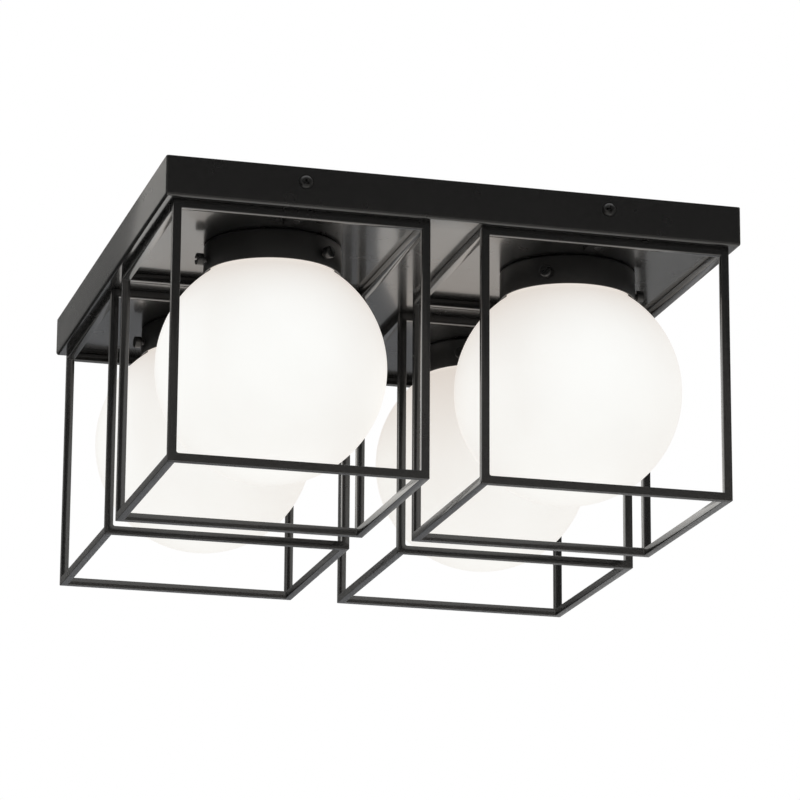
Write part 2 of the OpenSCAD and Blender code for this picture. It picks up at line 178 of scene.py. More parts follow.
def turned_brass():
    # Plain brass, turned or pressed, unlacquered: warm yellow with slightly darker stains.
    mat, tree, bsdf, place = surface("turned_brass", "#D0A95E", Metallic=1.0, Roughness=0.28)
    stain = add(tree, "TexNoise", {"Scale": per_metre(6), "Detail": 4.0}, {"Vector": place})
    yellows = add(tree, "ValToRGB", wires={"Fac": stain}, stops=("#BF9549", "#D9B469"))
    haze = add(tree, "ValToRGB", wires={"Fac": stain}, stops=(0.36, 0.24))
    wire(tree, bsdf, {"Base Color": yellows, "Roughness": haze})
    return mat


def glazed_porcelain():
    # Electrical porcelain: a white fired body under a clear glaze, glossy with tiny pinholes. They
    # are drawn coarser than the real ones, to show.
    mat, tree, bsdf, place = surface(
        "glazed_porcelain", "#EDEAE3", Roughness=0.16, IOR=1.5, Coat_Weight=0.5,
        Coat_Roughness=0.06)
    grain = add(tree, "TexNoise", {"Scale": per_metre(1.5), "Detail": 3.0}, {"Vector": place})
    whites = add(tree, "ValToRGB", wires={"Fac": grain}, stops=("#E8E4DB", "#F0EEE8"))
    bump = add(tree, "Bump", {"Strength": 0.08, "Distance": 0.00005}, {"Height": grain})
    wire(tree, bsdf, {"Base Color": whites, "Normal": bump})
    return mat


def frosted_glass():
    # Bulb glass with a powder coat inside: white and soft, smooth to the touch outside. The powder
    # is drawn far coarser than it is, to show.
    mat, tree, bsdf, place = surface(
        "frosted_bulb_glass", "#F4F2EC", Roughness=0.2, IOR=1.5, Transmission_Weight=0.25)
    powder = add(tree, "TexNoise", {"Scale": per_metre(0.9), "Detail": 2.0}, {"Vector": place})
    whites = add(tree, "ValToRGB", wires={"Fac": powder}, stops=("#EFECE4", "#F8F7F3"))
    wire(tree, bsdf, {"Base Color": whites})
    return mat


def plated_cap():
    # Lamp cap of nickel plated brass, rolled from sheet: pale, with fine rolling marks.
    mat, tree, bsdf, place = surface("nickel_plated_cap", "#C9C5BC", Metallic=1.0, Roughness=0.25)
    marks = add(tree, "TexNoise", {"Scale": per_metre(2), "Detail": 3.0}, {"Vector": place})
    nickels = add(tree, "ValToRGB", wires={"Fac": marks}, stops=("#BFBAB0", "#D0CCC4"))
    haze = add(tree, "ValToRGB", wires={"Fac": marks}, stops=(0.2, 0.34))
    wire(tree, bsdf, {"Base Color": nickels, "Roughness": haze})
    return mat


def wire_insulation(name, dark, light):
    # Extruded PVC insulation: an even colour with a low shine and a faint mottle from the die.
    mat, tree, bsdf, place = surface(name, dark, Roughness=0.38, IOR=1.53)
    drawn = add(tree, "TexNoise", {"Scale": per_metre(1.4), "Detail": 2.0}, {"Vector": place})
    tints = add(tree, "ValToRGB", wires={"Fac": drawn}, stops=(dark, light))
    wire(tree, bsdf, {"Base Color": tints})
    return mat


def moulded_nylon():
    # Moulded nylon connectors: a flat, slightly waxy colour with the mould's spark texture, drawn
    # coarser than the real one, to show.
    mat, tree, bsdf, place = surface("moulded_nylon", "#B4472C", Roughness=0.45, IOR=1.53)
    spark = add(tree, "TexNoise", {"Scale": per_metre(0.7), "Detail": 2.0}, {"Vector": place})
    reds = add(tree, "ValToRGB", wires={"Fac": spark}, stops=("#AB4128", "#BC4E32"))
    bump = add(tree, "Bump", {"Strength": 0.2, "Distance": 0.00006}, {"Height": spark})
    wire(tree, bsdf, {"Base Color": reds, "Normal": bump})
    return mat


def green_dye():
    # The ground screw's green dye over zinc: metal that shows through a tinted skin.
    mat, tree, bsdf, place = surface("green_dyed_zinc", "#2F7A45", Metallic=0.8, Roughness=0.35)
    dye = add(tree, "TexNoise", {"Scale": per_metre(1.2), "Detail": 2.0}, {"Vector": place})
    greens = add(tree, "ValToRGB", wires={"Fac": dye}, stops=("#276B3B", "#3A8A50"))
    wire(tree, bsdf, {"Base Color": greens})
    return mat


FINISH = {
    "black_powder_coat": powder_coat(
        "satin_powder_coat", rough=0.26, coat_rough=0.12, coat_weight=1.0),
    "black_screws": black_electrocoat(),
    "opal_glass": opal_glass(),
    "zinc_plate": bright_zinc(),
    "brass": turned_brass(),
    "porcelain": glazed_porcelain(),
    "bulb_glass": frosted_glass(),
    "lamp_cap": plated_cap(),
    "green_screw": green_dye(),
    "green_lead": wire_insulation("green_pvc_insulation", "#3B7D3C", "#4A9048"),
    "black_lead": wire_insulation("black_pvc_insulation", "#161616", "#1F1F1F"),
    "white_lead": wire_insulation("white_pvc_insulation", "#DEDBD2", "#EAE8E1"),
    "connector_plastic": moulded_nylon(),
}
# The cups wear a flatter coat than the canopy and the cages
CUP_COAT = powder_coat("matt_powder_coat", rough=0.42, coat_rough=0.3, coat_weight=0.4)
SLOT_OF = {entry["node"]: entry["material_slot"] for entry in frame["record"]["subparts"]}
for node_name, cad in nodes.items():
    cad.data.materials.clear()
    cad.data.materials.append(FINISH[SLOT_OF[node_name]])
    cad.data.shade_smooth()
    cad.data.set_sharp_from_angle(angle=math.radians(28))


# Mesh making, in millimetres

def at(x, y, z=0.0):
    """A move to a place."""
    return Matrix.Translation((x, y, z))


def piece(name, bm, *replaced, smooth, place=Matrix.Identity(4)):
    """A mesh object from bm in millimetres, standing for the CAD nodes it replaces. Edges sharper
    than smooth, in degrees, stay sharp."""
    bmesh.ops.remove_doubles(bm, verts=bm.verts, dist=0.0005)
    bmesh.ops.recalc_face_normals(bm, faces=bm.faces)
    mesh = bpy.data.meshes.new(name)
    bm.to_mesh(mesh)
    bm.free()
    mesh.transform(Matrix.Scale(MM, 4) @ place)
    mesh.shade_smooth()
    mesh.set_sharp_from_angle(angle=math.radians(smooth))
    obj = bpy.data.objects.new(name, mesh)
    bpy.context.scene.collection.objects.link(obj)
    slot = SLOT_OF[replaced[0]]
    mesh.materials.append(FINISH[slot])
    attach(obj, nodes[replaced[0]]["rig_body"])
    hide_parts(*replaced)
    return obj


def lathe(bm, outline, turns, place=Matrix.Identity(4), wobble=None):
    """Turns a closed outline of (radius, height) about the local Z axis."""
    rings = []
    for r, z in outline:
        if r < 1e-6:
            rings.append([bm.verts.new(place @ Vector((0, 0, z)))])
            continue
        ring = []
        for k in range(turns):
            a = 2 * math.pi * k / turns
            rr = r + (wobble(r, z, a) if wobble else 0)
            ring.append(bm.verts.new(place @ Vector((rr * math.cos(a), rr * math.sin(a), z))))
        rings.append(ring)
    closed = len(rings[0]) > 1 and len(rings[-1]) > 1
    pairs = list(zip(rings, rings[1:])) + ([(rings[-1], rings[0])] if closed else [])
    for low, high in pairs:
        if len(low) == len(high) == 1:
            continue
        for k in range(turns):
            m = (k + 1) % turns
            quad = [low[k % len(low)], low[m % len(low)], high[m % len(high)], high[k % len(high)]]
            bm.faces.new(list(dict.fromkeys(quad)))


def arc(cx, cz, r, start, end, steps):
    """Points of an arc in an outline, in degrees."""
    return [
        (cx + r * math.cos(math.radians(start + (end - start) * i / steps)),
         cz + r * math.sin(math.radians(start + (end - start) * i / steps)))
        for i in range(steps + 1)
    ]


def block(bm, low, high):
    """A box between two corners."""
    verts = [bm.verts.new((x, y, z))
             for x in (low[0], high[0]) for y in (low[1], high[1]) for z in (low[2], high[2])]
    for a, b, c, d in ((0, 1, 3, 2), (4, 6, 7, 5), (0, 4, 5, 1),
                       (2, 3, 7, 6), (0, 2, 6, 4), (1, 5, 7, 3)):
        bm.faces.new((verts[a], verts[b], verts[c], verts[d]))


def skin(bm, loops):
    """Quads between neighbouring loops of one length."""
    for low, high in zip(loops, loops[1:]):
        for k in range(len(low)):
            m = (k + 1) % len(low)
            bm.faces.new((low[k], low[m], high[m], high[k]))


def capped_skin(bm, loops):
    """The skin of the loops, closed at both ends."""
    skin(bm, loops)
    bm.faces.new(loops[0])
    bm.faces.new(loops[-1])


def tool(bm):
    """A throwaway object that cuts or joins another."""
    bmesh.ops.recalc_face_normals(bm, faces=bm.faces)
    mesh = bpy.data.meshes.new("tool")
    bm.to_mesh(mesh)
    bm.free()
    obj = bpy.data.objects.new("tool", mesh)
    bpy.context.scene.collection.objects.link(obj)
    return obj


def combined(bm, other, operation):
    """bm after a boolean with other, both in millimetres."""
    base = tool(bm)
    second = tool(other)
    step = base.modifiers.new("step", "BOOLEAN")
    step.operation = operation
    step.solver = "EXACT"
    step.object = second
    bpy.context.view_layer.update()
    done = base.evaluated_get(bpy.context.evaluated_depsgraph_get())
    result = bmesh.new()
    result.from_mesh(done.to_mesh())
    done.to_mesh_clear()
    for obj in (base, second):
        mesh = obj.data
        bpy.data.objects.remove(obj)
        bpy.data.meshes.remove(mesh)
    return result


def gather(target, source, place):
    """Adds source, moved to its place, to target."""
    source.transform(place)
    mesh = bpy.data.meshes.new("gather")
    source.to_mesh(mesh)
    source.free()
    target.from_mesh(mesh)
    bpy.data.meshes.remove(mesh)


def ease_edges(bm, width):
    """Rounds every edge sharper than 50 degrees, as a file or a tumbling drum does."""
    bm.normal_update()
    sharp = [e for e in bm.edges
             if len(e.link_faces) == 2 and e.calc_face_angle(0) > math.radians(50)]
    bmesh.ops.bevel(bm, geom=sharp, offset=width, segments=2, profile=0.5, affect="EDGES",
                    clamp_overlap=True, harden_normals=False)


def round_spots(node_name):
    """Middle and half width of each loose part of a CAD node, seen from above."""
    bm = bmesh.new()
    bm.from_mesh(nodes[node_name].data)
    bmesh.ops.remove_doubles(bm, verts=bm.verts, dist=1e-6)
    seen, spots = set(), []
    for start in bm.verts:
        if start in seen:
            continue
        stack, group = [start], []
        seen.add(start)
        while stack:
            v = stack.pop()
            group.append(v.co)
            for e in v.link_edges:
                w = e.other_vert(v)
                if w not in seen:
                    seen.add(w)
                    stack.append(w)
        xs, ys = [c.x for c in group], [c.y for c in group]
        half = 0.5 / MM
        spots.append((half * (min(xs) + max(xs)), half * (min(ys) + max(ys)),
                      half * (max(xs) - min(xs))))
    bm.free()
    return spots


def thread_outline(radius, low, high, pitch):
    """Outline of a threaded rod as rings: crests at radius, roots one depth below."""
    depth, lead_in = 0.25, 0.2
    outline = [(0, low), (radius - depth, low)]
    turns = max(1, int((high - low - 2 * lead_in) / pitch))
    start = low + lead_in
    for i in range(turns):
        outline += [(radius - depth, start + i * pitch), (radius, start + (i + 0.5) * pitch)]
    outline += [(radius - depth, start + turns * pitch), (radius - depth, high), (0, high)]
    return outline


# Canopy: a folded pan with rounded lower edges and corners

def square_loop(bm, half, radius, z):
    """A level loop of a square with rounded corners."""
    loop = []
    for cx, cy, start in ((1, 1, 0), (-1, 1, 90), (-1, -1, 180), (1, -1, 270)):
        for x, y in arc(cx * (half - radius), cy * (half - radius), radius, start, start + 90, 5):
            loop.append(bm.verts.new((x, y, z)))
    return loop


def build_canopy():
    half, depth, sheet, fold, rim = 180.0, 25.0, 1.2, 2.0, 0.25
    corner, least_corner, inner_corner, close = 1.6, 0.3, 0.4, 0.01

    def wall(face, rim_inset, radius, steps):
        """Inset and height of one face of the wall, from its rim down and round the fold."""
        turns = [math.pi / 2 * i / steps for i in range(steps + 1)]
        return [(rim_inset, 0.0), (face, -rim)] + [
            (face + radius * (1 - math.cos(t)), fold - depth - radius * math.sin(t))
            for t in turns]

    bm = bmesh.new()
    outer = []
    for inset, z in wall(0.0, rim, fold, 6):
        bent = max(corner - inset, least_corner) if z > close - depth else least_corner
        outer.append(square_loop(bm, half - inset, bent, z))
    inner = [square_loop(bm, half - inset, inner_corner, z)
             for inset, z in wall(sheet, sheet - rim, fold - sheet, 4)]
    skin(bm, list(reversed(outer)) + inner)
    bm.faces.new(outer[-1])
    bm.faces.new(inner[-1])

    # Each hole is sized from what shows above it: a nipple, or a cage screw's wider head
    below, above, nipple_gap, head_overlap = -30.0, -20.0, 0.25, 1.75
    cuts = bmesh.new()
    for node_name, more in (("nipples", nipple_gap), ("cage_screws", -head_overlap)):
        for x, y, r in round_spots(node_name):
            lathe(cuts, [(0, below), (r + more, below), (r + more, above), (0, above)], 32,
                  at(x, y))
    bm = combined(bm, cuts, "DIFFERENCE")

    stud_radius, stud_low, stud_top, stud_pitch = 2.0, -24.4, -15.8, 0.7
    x, y, _ = round_spots("ground_nut")[0]
    post = bmesh.new()
    lathe(post, thread_outline(stud_radius, stud_low, stud_top, stud_pitch), 24, at(x, y))
    bm = combined(bm, post, "UNION")
    piece("canopy_pan", bm, "canopy", smooth=24)


build_canopy()


# Cages: square bar with eased edges. The finished mesh lacks nearly all of the weld fillets, for
# the reason given in build_cage.

BAR = 5.0


def weld_fillets(bm, low, high):
    """The dressed welds where an upright meets the frames above and below it, hollow as ground."""
    leg, belly, ripple, margin, slices = 1.3, 0.2, 0.06, 0.4, 8
    sunk = -0.3             # its back stands in the bars, by this share of its leg
    section = [(sunk, sunk), (1, sunk)] + arc(1, 1, 1, 270, 180, 5) + [(sunk, 1)]
    for sx, sy, sz in [(a, b, c) for a in (0, 1) for b in (0, 1) for c in (0, 1)]:
        inner = Vector([top - BAR if s else bottom + BAR
                        for s, bottom, top in zip((sx, sy, sz), low, high)])
        away = Vector([-1 if s else 1 for s in (sx, sy, sz)])
        for run, across in ((0, 1), (1, 0)):
            rings = []
            for i in range(slices + 1):
                t = i / slices
                size = leg + belly * math.sin(math.pi * t) + ripple * math.cos(9 * math.pi * t)
                ring = []
                for u, v in section:
                    spot = Vector(inner)
                    spot[run] += away[run] * u * size
                    spot[2] += away[2] * v * size
                    spot[across] -= away[across] * (margin + t * (BAR - 2 * margin))
                    ring.append(bm.verts.new(spot))
                rings.append(ring)
            capped_skin(bm, rings)


def bar_frame(low, high):
    """The twelve bars between two corners, as one skin of quads."""
    lines = [[low[a], low[a] + BAR, high[a] - BAR, high[a]] for a in range(3)]
    bm = bmesh.new()
    grid = {}

    def solid(cell):
        return all(0 <= c <= 2 for c in cell) and sum(c != 1 for c in cell) >= 2

    def vert(i, j, k):
        if (i, j, k) not in grid:
            grid[i, j, k] = bm.verts.new((lines[0][i], lines[1][j], lines[2][k]))
        return grid[i, j, k]

    for cell in [(i, j, k) for i in range(3) for j in range(3) for k in range(3)]:
        if not solid(cell):
            continue
        for axis in range(3):
            for side in (0, 1):
                other = list(cell)
                other[axis] += 1 if side else -1
                if solid(other):
                    continue
                quad = []
                for u, v in ((0, 0), (1, 0), (1, 1), (0, 1)):
                    spot = list(cell)
                    spot[axis] += side
                    spot[(axis + 1) % 3] += u
                    spot[(axis + 2) % 3] += v
                    quad.append(vert(*spot))
                bm.faces.new(quad if side else quad[::-1])
    return bm


def build_cage(corner):
    low, high = (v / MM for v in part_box("cage_" + corner))
    bar_ease, tab_ease = 0.45, 0.35
    bm = bar_frame(low, high)
    ease_edges(bm, bar_ease)
    # The joins below drop fifteen of these sixteen fillets, and in some runs the last one too,
    # because they overlap the bars they are joined with. Gathered in after the joins, all would stay.
    weld_fillets(bm, low, high)

    # Two flat tabs under the canopy, each with a tapped hole for its screw
    near, far, half_width, sheet = 54.0, 76.5, 7.0, 2.0
    screw_at, screw_hole, below, above = 62.0, 2.05, -30.0, -20.0
    middle = (low + high) / 2
    for s in (-1, 1):
        ends = sorted((middle.y + s * near, middle.y + s * far))
        tab = bmesh.new()
        block(tab, (middle.x - half_width, ends[0], high.z - sheet),
              (middle.x + half_width, ends[1], high.z))
        ease_edges(tab, tab_ease)
        bm = combined(bm, tab, "UNION")
        hole = bmesh.new()
        lathe(hole, [(0, below), (screw_hole, below), (screw_hole, above), (0, above)], 24,
              at(middle.x, middle.y + s * screw_at))
        bm = combined(bm, hole, "DIFFERENCE")
    piece("bar_cage_" + corner, bm, "cage_" + corner, smooth=40)


for corner in CORNERS:
    build_cage(corner)


# Holders, globes and thumb screws

def corner_axis(corner):
    """The upright axis that a corner's cup, globe, shell and cap share."""
    low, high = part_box("globe_" + corner)
    return (low + high) / 2 / MM


def thumb_place(joint, corner):
    """Stands Z along a thumb screw, outwards from its cup's axis at the screw's level."""
    axis = corner_axis(corner)
    turn = math.atan2(joint["axis"][1], joint["axis"][0])
    return at(axis.x, axis.y, THUMB_LEVEL) @ Matrix.Rotation(turn, 4, "Z") @ SIDEWAYS


def build_holder(corner):
    axis = corner_axis(corner)
    top, rim, radius, wall, bend, lip, hole = -25.0, -44.0, 42.5, 1.0, 2.0, 0.35, 5.25
    bm = bmesh.new()
    outline = [(hole, top), (hole, top - wall)]
    outline += arc(radius - bend, top - bend, bend - wall, 90, 0, 4)
    outline += arc(radius - wall + lip, rim + lip, lip, 180, 270, 3)
    outline += arc(radius - lip, rim + lip, lip, 270, 360, 3)
    outline += arc(radius - bend, top - bend, bend, 0, 90, 6)
    lathe(bm, outline, 160, at(axis.x, axis.y))

    # A collar pressed inwards round each thumb screw's hole
    inner, outer, collar, mouth, bore = 40.2, 42.0, 3.0, 0.3, 1.8
    hole_start, hole_end = 38.0, 44.0
    for joint in frame["joints"]:
        if not joint["child"].startswith("thumb_screw_" + corner):
            continue
        place = thumb_place(joint, corner)
        boss = bmesh.new()
        lathe(boss, [(0, inner)] + arc(collar - mouth, inner + mouth, mouth, 270, 360, 3)
              + [(collar, outer), (0, outer)], 32, place)
        bm = combined(bm, boss, "UNION")
        drill = bmesh.new()
        lathe(drill, [(0, hole_start), (bore, hole_start), (bore, hole_end), (0, hole_end)], 24,
              place)
        bm = combined(bm, drill, "DIFFERENCE")
    cup = piece("cup_" + corner, bm, "holder_" + corner, smooth=30)
    cup.data.materials[0] = CUP_COAT


def build_globe(corner):
    axis = corner_axis(corner)
    ball, glass, centre, neck, lip, lip_top = 71.0, 2.5, -102.51, 38.0, 39.7, -29.5
    lip_low = THUMB_LEVEL + 2.05        # the shank's radius and the seat's gap over its middle
    step, round_lip, round_bore, ball_steps, bore_steps = 1.7, 1.7, 0.8, 72, 60
    outside = math.degrees(math.acos(neck / ball))
    inside = math.degrees(math.acos((neck - glass) / (ball - glass)))
    outline = arc(0, centre, ball, -90, outside, ball_steps)
    outline[0] = (0, outline[0][1])
    # The shoulder under the lip, its corners rounded by the fire
    outline += [(neck, lip_low - 0.8), (neck + 0.12, lip_low - 0.2), (neck + 0.6, lip_low + 0.5)]
    outline += [(lip - 0.25, lip_low + step - 0.4), (lip, lip_low + step + 0.3)]
    outline += arc(lip - round_lip, lip_top - round_lip, round_lip, 0, 90, 6)
    outline += arc(neck - glass + round_bore, lip_top - round_bore, round_bore, 90, 180, 4)
    outline += arc(0, centre, ball - glass, inside, -90, bore_steps)
    outline[-1] = (0, outline[-1][1])
    bm = bmesh.new()
    lathe(bm, outline, 144, at(axis.x, axis.y))
    piece("opal_globe_" + corner, bm, "globe_" + corner, smooth=60)


# The turn of each thumb screw's slot, as in the solids
SLOT_TURN = {
    "front_left_1": 80, "front_left_2": 35, "front_left_3": 10,
    "front_right_1": 120, "front_right_2": 15, "front_right_3": 60,
    "rear_left_1": 165, "rear_left_2": 90, "rear_left_3": 45,
    "rear_right_1": 50, "rear_right_2": 5, "rear_right_3": 100,
}


def build_thumb_screw(joint):
    node_name = joint["child"]
    screw = node_name[len("thumb_screw_"):]
    tip, head, end, tip_radius, shank, grip = 38.3, 44.4, 48.9, 1.2, 1.75, 3.75
    depth, lead_in, pitch, turns = 0.22, 0.35, 0.7, 7
    runout, seat_round, crown_round = 0.15, 0.5, 0.7
    root = shank - depth
    outline = [(0, tip), (tip_radius, tip)]
    for i in range(turns):
        outline += [(root, tip + lead_in + i * pitch), (shank, tip + lead_in + (i + 0.5) * pitch)]
    outline += [(root, head - runout), (root, head)]
    outline += arc(grip - seat_round, head + seat_round, seat_round, 270, 360, 4)
    outline += arc(grip - crown_round, end - crown_round, crown_round, 0, 90, 5)
    outline += [(0, end)]
    bm = bmesh.new()
    lathe(bm, outline, 40)
    half_slot, slot_depth, reach, over = 0.6, 1.5, 5, 1
    slot = bmesh.new()
    block(slot, (-reach, -half_slot, end - slot_depth), (reach, half_slot, end + over))
    slot.transform(Matrix.Rotation(math.radians(SLOT_TURN[screw]), 4, "Z"))
    bm = combined(bm, slot, "DIFFERENCE")
    piece("slotted_" + node_name, bm, node_name, smooth=30, place=thumb_place(joint, screw[:-2]))


for corner in CORNERS:
    build_holder(corner)
    build_globe(corner)
for joint in frame["joints"]:
    build_thumb_screw(joint)


# Lamp caps and the shells they screw into, with the thread rolled into both

def rolled_thread(low, high, wall_radii):
    """A round right hand thread in the walls named, between two heights, fading at its ends."""
    depth, pitch, fade_over = 0.7, 3.63, 1.5

    def wave(r, z, a):
        if r not in wall_radii:
            return 0
        fade = max(0.0, min(1.0, (z - low) / fade_over, (high - z) / fade_over))
        return depth * fade * math.cos(a - 2 * math.pi * z / pitch)
    return wave


def build_lamp_cap(corner):
    axis = corner_axis(corner)
    low, high = (v.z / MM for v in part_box("lamp_cap_" + corner))
    root, first, level, levels = 12.3, 0.8, 0.4, 48
    outline = [(0, low), (root, low)]
    outline += [(root, low + first + level * i) for i in range(levels)]
    # The cap's taper and tip, by how far each point lies below its top
    outline += [(r, high - down) for r, down in (
        (12.2, 5.4), (11.6, 4.2), (5.2, 1.2), (4.5, 0.8), (4.2, 0.2), (3.6, 0), (0, 0))]
    bm = bmesh.new()
    lathe(bm, outline, 60, at(axis.x, axis.y), rolled_thread(low + 1.0, low + 19.4, (root,)))
    piece("rolled_lamp_cap_" + corner, bm, "lamp_cap_" + corner, smooth=40)


def build_screw_shell(corner):
    axis = corner_axis(corner)
    low, high = (v.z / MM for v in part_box("screw_shell_" + corner))
    inner, wall, flare, sheet, first, level, levels = 12.8, 0.6, 0.6, 0.8, 0.7, 0.4, 68
    heights = [low + first + level * i for i in range(levels)]
    outline = [(inner + flare, low), (inner + flare + wall, low)]
    outline += [(inner + wall, z) for z in heights]
    outline += [(13.3, high - 0.4), (12.8, high), (9.0, high), (9.0, high - sheet),
                (12.4, high - sheet)]
    outline += [(inner, z) for z in reversed(heights)]
    bm = bmesh.new()
    lathe(bm, outline, 60, at(axis.x, axis.y),
          rolled_thread(low + 1.0, high - 3.0, (inner, inner + wall)))
    # The tongue that reaches in from the shell's flange
    tongue = bmesh.new()
    block(tongue, (0.8, -1.5, high - sheet), (9.8, 1.5, high))
    ease_edges(tongue, 0.15)
    gather(bm, tongue, at(axis.x, axis.y))
    piece("rolled_screw_shell_" + corner, bm, "screw_shell_" + corner, smooth=40)


for corner in CORNERS:
    build_lamp_cap(corner)
    build_screw_shell(corner)


# Pan head screws with a cross recess

def pan_screw(shank_length, turn):
    """A pan head screw with its seat at zero and its tapered cross recess turned by turn."""
    bm = bmesh.new()
    outline = thread_outline(2.0, -shank_length, -0.3, 0.7)[:-2]
    outline += [(1.75, 0.0), (3.8, 0.0)] + arc(3.75, 0.25, 0.25, 270, 360, 2)
    outline += [(3.98, 0.8), (3.86, 1.25), (3.5, 1.75), (2.8, 2.15), (1.9, 2.34), (0, 2.4)]
    lathe(bm, outline, 40)
    # Half length, half width and height of one wing of the recess, from above the head down
    wings = ((2.45, 0.75, 3.0), (2.2, 0.6, 2.0), (1.0, 0.3, 0.9))
    around = ((-1, -1), (1, -1), (1, 1), (-1, 1))
    for angle in (0, 90):
        cut = bmesh.new()
        capped_skin(cut, [[cut.verts.new((x * half, y * wide, z)) for x, y in around]
                          for half, wide, z in wings])
        cut.transform(Matrix.Rotation(math.radians(angle + turn), 4, "Z"))
        bm = combined(bm, cut, "DIFFERENCE")
    return bm


side_screws = bmesh.new()
for x, facing, turn in ((-95, -1, 38), (95, -1, 10), (-95, 1, 55), (95, 1, 80)):
    gather(side_screws, pan_screw(9.0, turn),
           at(x, facing * 180, -9.5) @ Matrix.Rotation(-facing * math.pi / 2, 4, "X"))
piece("cross_recess_canopy_screws", side_screws, "canopy_screws", smooth=30)

inner_screws = bmesh.new()
for i, (x, y, r) in enumerate(round_spots("cage_screws")):
    gather(inner_screws, pan_screw(3.7, 25 * i), at(x, y, -23.8))
piece("cross_recess_cage_screws", inner_screws, "cage_screws", smooth=30)


# Bracket

def eased_copy(name, node_name, width):
    """The CAD node's own surface with its sharp edges rounded."""
    bm = bmesh.new()
    bm.from_mesh(nodes[node_name].data)
    bmesh.ops.scale(bm, vec=(1 / MM, 1 / MM, 1 / MM), verts=bm.verts)
    bmesh.ops.remove_doubles(bm, verts=bm.verts, dist=0.001)
    bmesh.ops.dissolve_limit(bm, angle_limit=math.radians(1), verts=bm.verts, edges=bm.edges)
    ease_edges(bm, width)
    piece(name, bm, node_name, smooth=30)


eased_copy("folded_bracket", "mounting_bracket", 0.2)


# Ground wire, from a lug under the bracket's screw to one on the canopy's stud

def rounded(corners, bend):
    """A path through corners, each turned with the bend radius."""
    steps = 6
    path = [Vector(corners[0])]
    for before, here, after in zip(corners, corners[1:], corners[2:]):
        here = Vector(here)
        a, b = (here - Vector(before)).normalized(), (Vector(after) - here).normalized()
        centre = here - a * bend + b * bend
        for i in range(steps + 1):
            t = math.pi / 2 * i / steps
            path.append(centre - b * bend * math.cos(t) + a * bend * math.sin(t))
    return path + [Vector(corners[-1])]


def sweep(bm, path, radius):
    """A round rod along a path, closed at both ends."""
    sides = 16
    turns = [2 * math.pi * k / sides for k in range(sides)]
    across = (path[1] - path[0]).normalized().orthogonal().normalized()
    rings = []
    for i, spot in enumerate(path):
        ahead = (path[min(i + 1, len(path) - 1)] - path[max(i - 1, 0)]).normalized()
        across = (across - ahead * across.dot(ahead)).normalized()
        beside = ahead.cross(across)
        rings.append([bm.verts.new(spot + (across * math.cos(t) + beside * math.sin(t)) * radius)
                      for t in turns])
    capped_skin(bm, rings)


ground, stud = [round_spots(name)[0][:2] for name in ("ground_screw", "ground_nut")]
level, deck, crimp, run, bend, wire_radius = -2.45, -22.85, 6.2, 17.8, 4, 0.9
strip = 2                   # the insulation begins this far into the barrel
green_wire = bmesh.new()
sweep(green_wire, rounded([
    (ground[0] + crimp + strip, ground[1], level), (ground[0] + run, ground[1], level),
    (ground[0] + run, stud[1], level), (ground[0] + run, stud[1], deck),
    (ground[0] + crimp + strip, stud[1], deck)], bend), wire_radius)
piece("green_ground_wire", green_wire, "ground_wire", smooth=60)

sheet, eye, tab_edge, tab_flat = 0.8, 2.25, 4.0, 3.9
lugs = bmesh.new()
for (x, y), face, middle in ((ground, -2.35, level), (stud, -23.75, deck)):
    ring = bmesh.new()
    lathe(ring, [(eye, face), (tab_flat, face), (tab_edge, face + 0.1), (tab_edge, face + 0.7),
                 (tab_flat, face + sheet), (eye, face + sheet)], 40)
    strap = bmesh.new()
    block(strap, (3.2, -wire_radius, face), (6.6, wire_radius, face + sheet))
    gather(lugs, combined(ring, strap, "UNION"), at(x, y))
    barrel = bmesh.new()
    lathe(barrel, [(0.9, 0), (1.0, 0), (1.0, 1.2), (0.92, 1.5), (0.92, 2.1), (1.0, 2.4),
                   (1.0, 3.4), (0.9, 3.4)], 20, at(x + crimp, y, middle) @ SIDEWAYS)
    gather(lugs, barrel, Matrix.Identity(4))
lug_piece = piece("crimped_ring_lugs", lugs, "ground_wire", smooth=30)
lug_piece.data.materials[0] = FINISH["zinc_plate"]


# Nuts, nipples and washers that clamp the cups to the canopy's floor

nuts = bmesh.new()
for x, y, r in round_spots("nipple_nuts"):
    nut = bmesh.new()
    lathe(nut, [(5.05, -23.0), (7.2, -23.0), (8.66, -22.3), (8.66, -20.7), (7.2, -20.0),
                (5.05, -20.0)], 6)
    ease_edges(nut, 0.25)
    gather(nuts, nut, at(x, y))
piece("hex_nipple_nuts", nuts, "nipple_nuts", smooth=25)

bore, root, crest, foot, top = 3.5, 4.6, 5.0, -33.0, -19.5
first_root, first_crest, threads = -32.8, -32.3, 13
tubes = bmesh.new()
for x, y, r in round_spots("nipples"):
    outline = [(bore, foot), (root, foot)]
    for i in range(threads):
        outline += [(root, first_root + i), (crest, first_crest + i)]
    outline += [(root, top), (bore, top)]
    lathe(tubes, outline, 48, at(x, y))
piece("threaded_nipples", tubes, "nipples", smooth=25)


def teeth(r, z, a):
    """Notches in a lock washer's rim."""
    depth, count, inside_rim = 0.5, 12, 8
    return -depth * (math.cos(count * a) > 0) if r > inside_rim else 0


washers = bmesh.new()
for x, y, r in round_spots("nipple_washers"):
    lathe(washers, [(5.25, -23.8), (9.0, -23.8), (9.0, -23.0), (5.25, -23.0)], 48, at(x, y), teeth)
piece("toothed_washers", washers, "nipple_washers", smooth=25)


# Twist-on connectors, with grip ribs round the cone

def ribs(r, z, a):
    """Grooves down a connector's cone and round the closed end of its bore."""
    depth, count = 0.35, 18
    return -depth * (math.cos(count * a) > 0) if 4.1 < r < 5.2 and 2.7 < z < 19 else 0


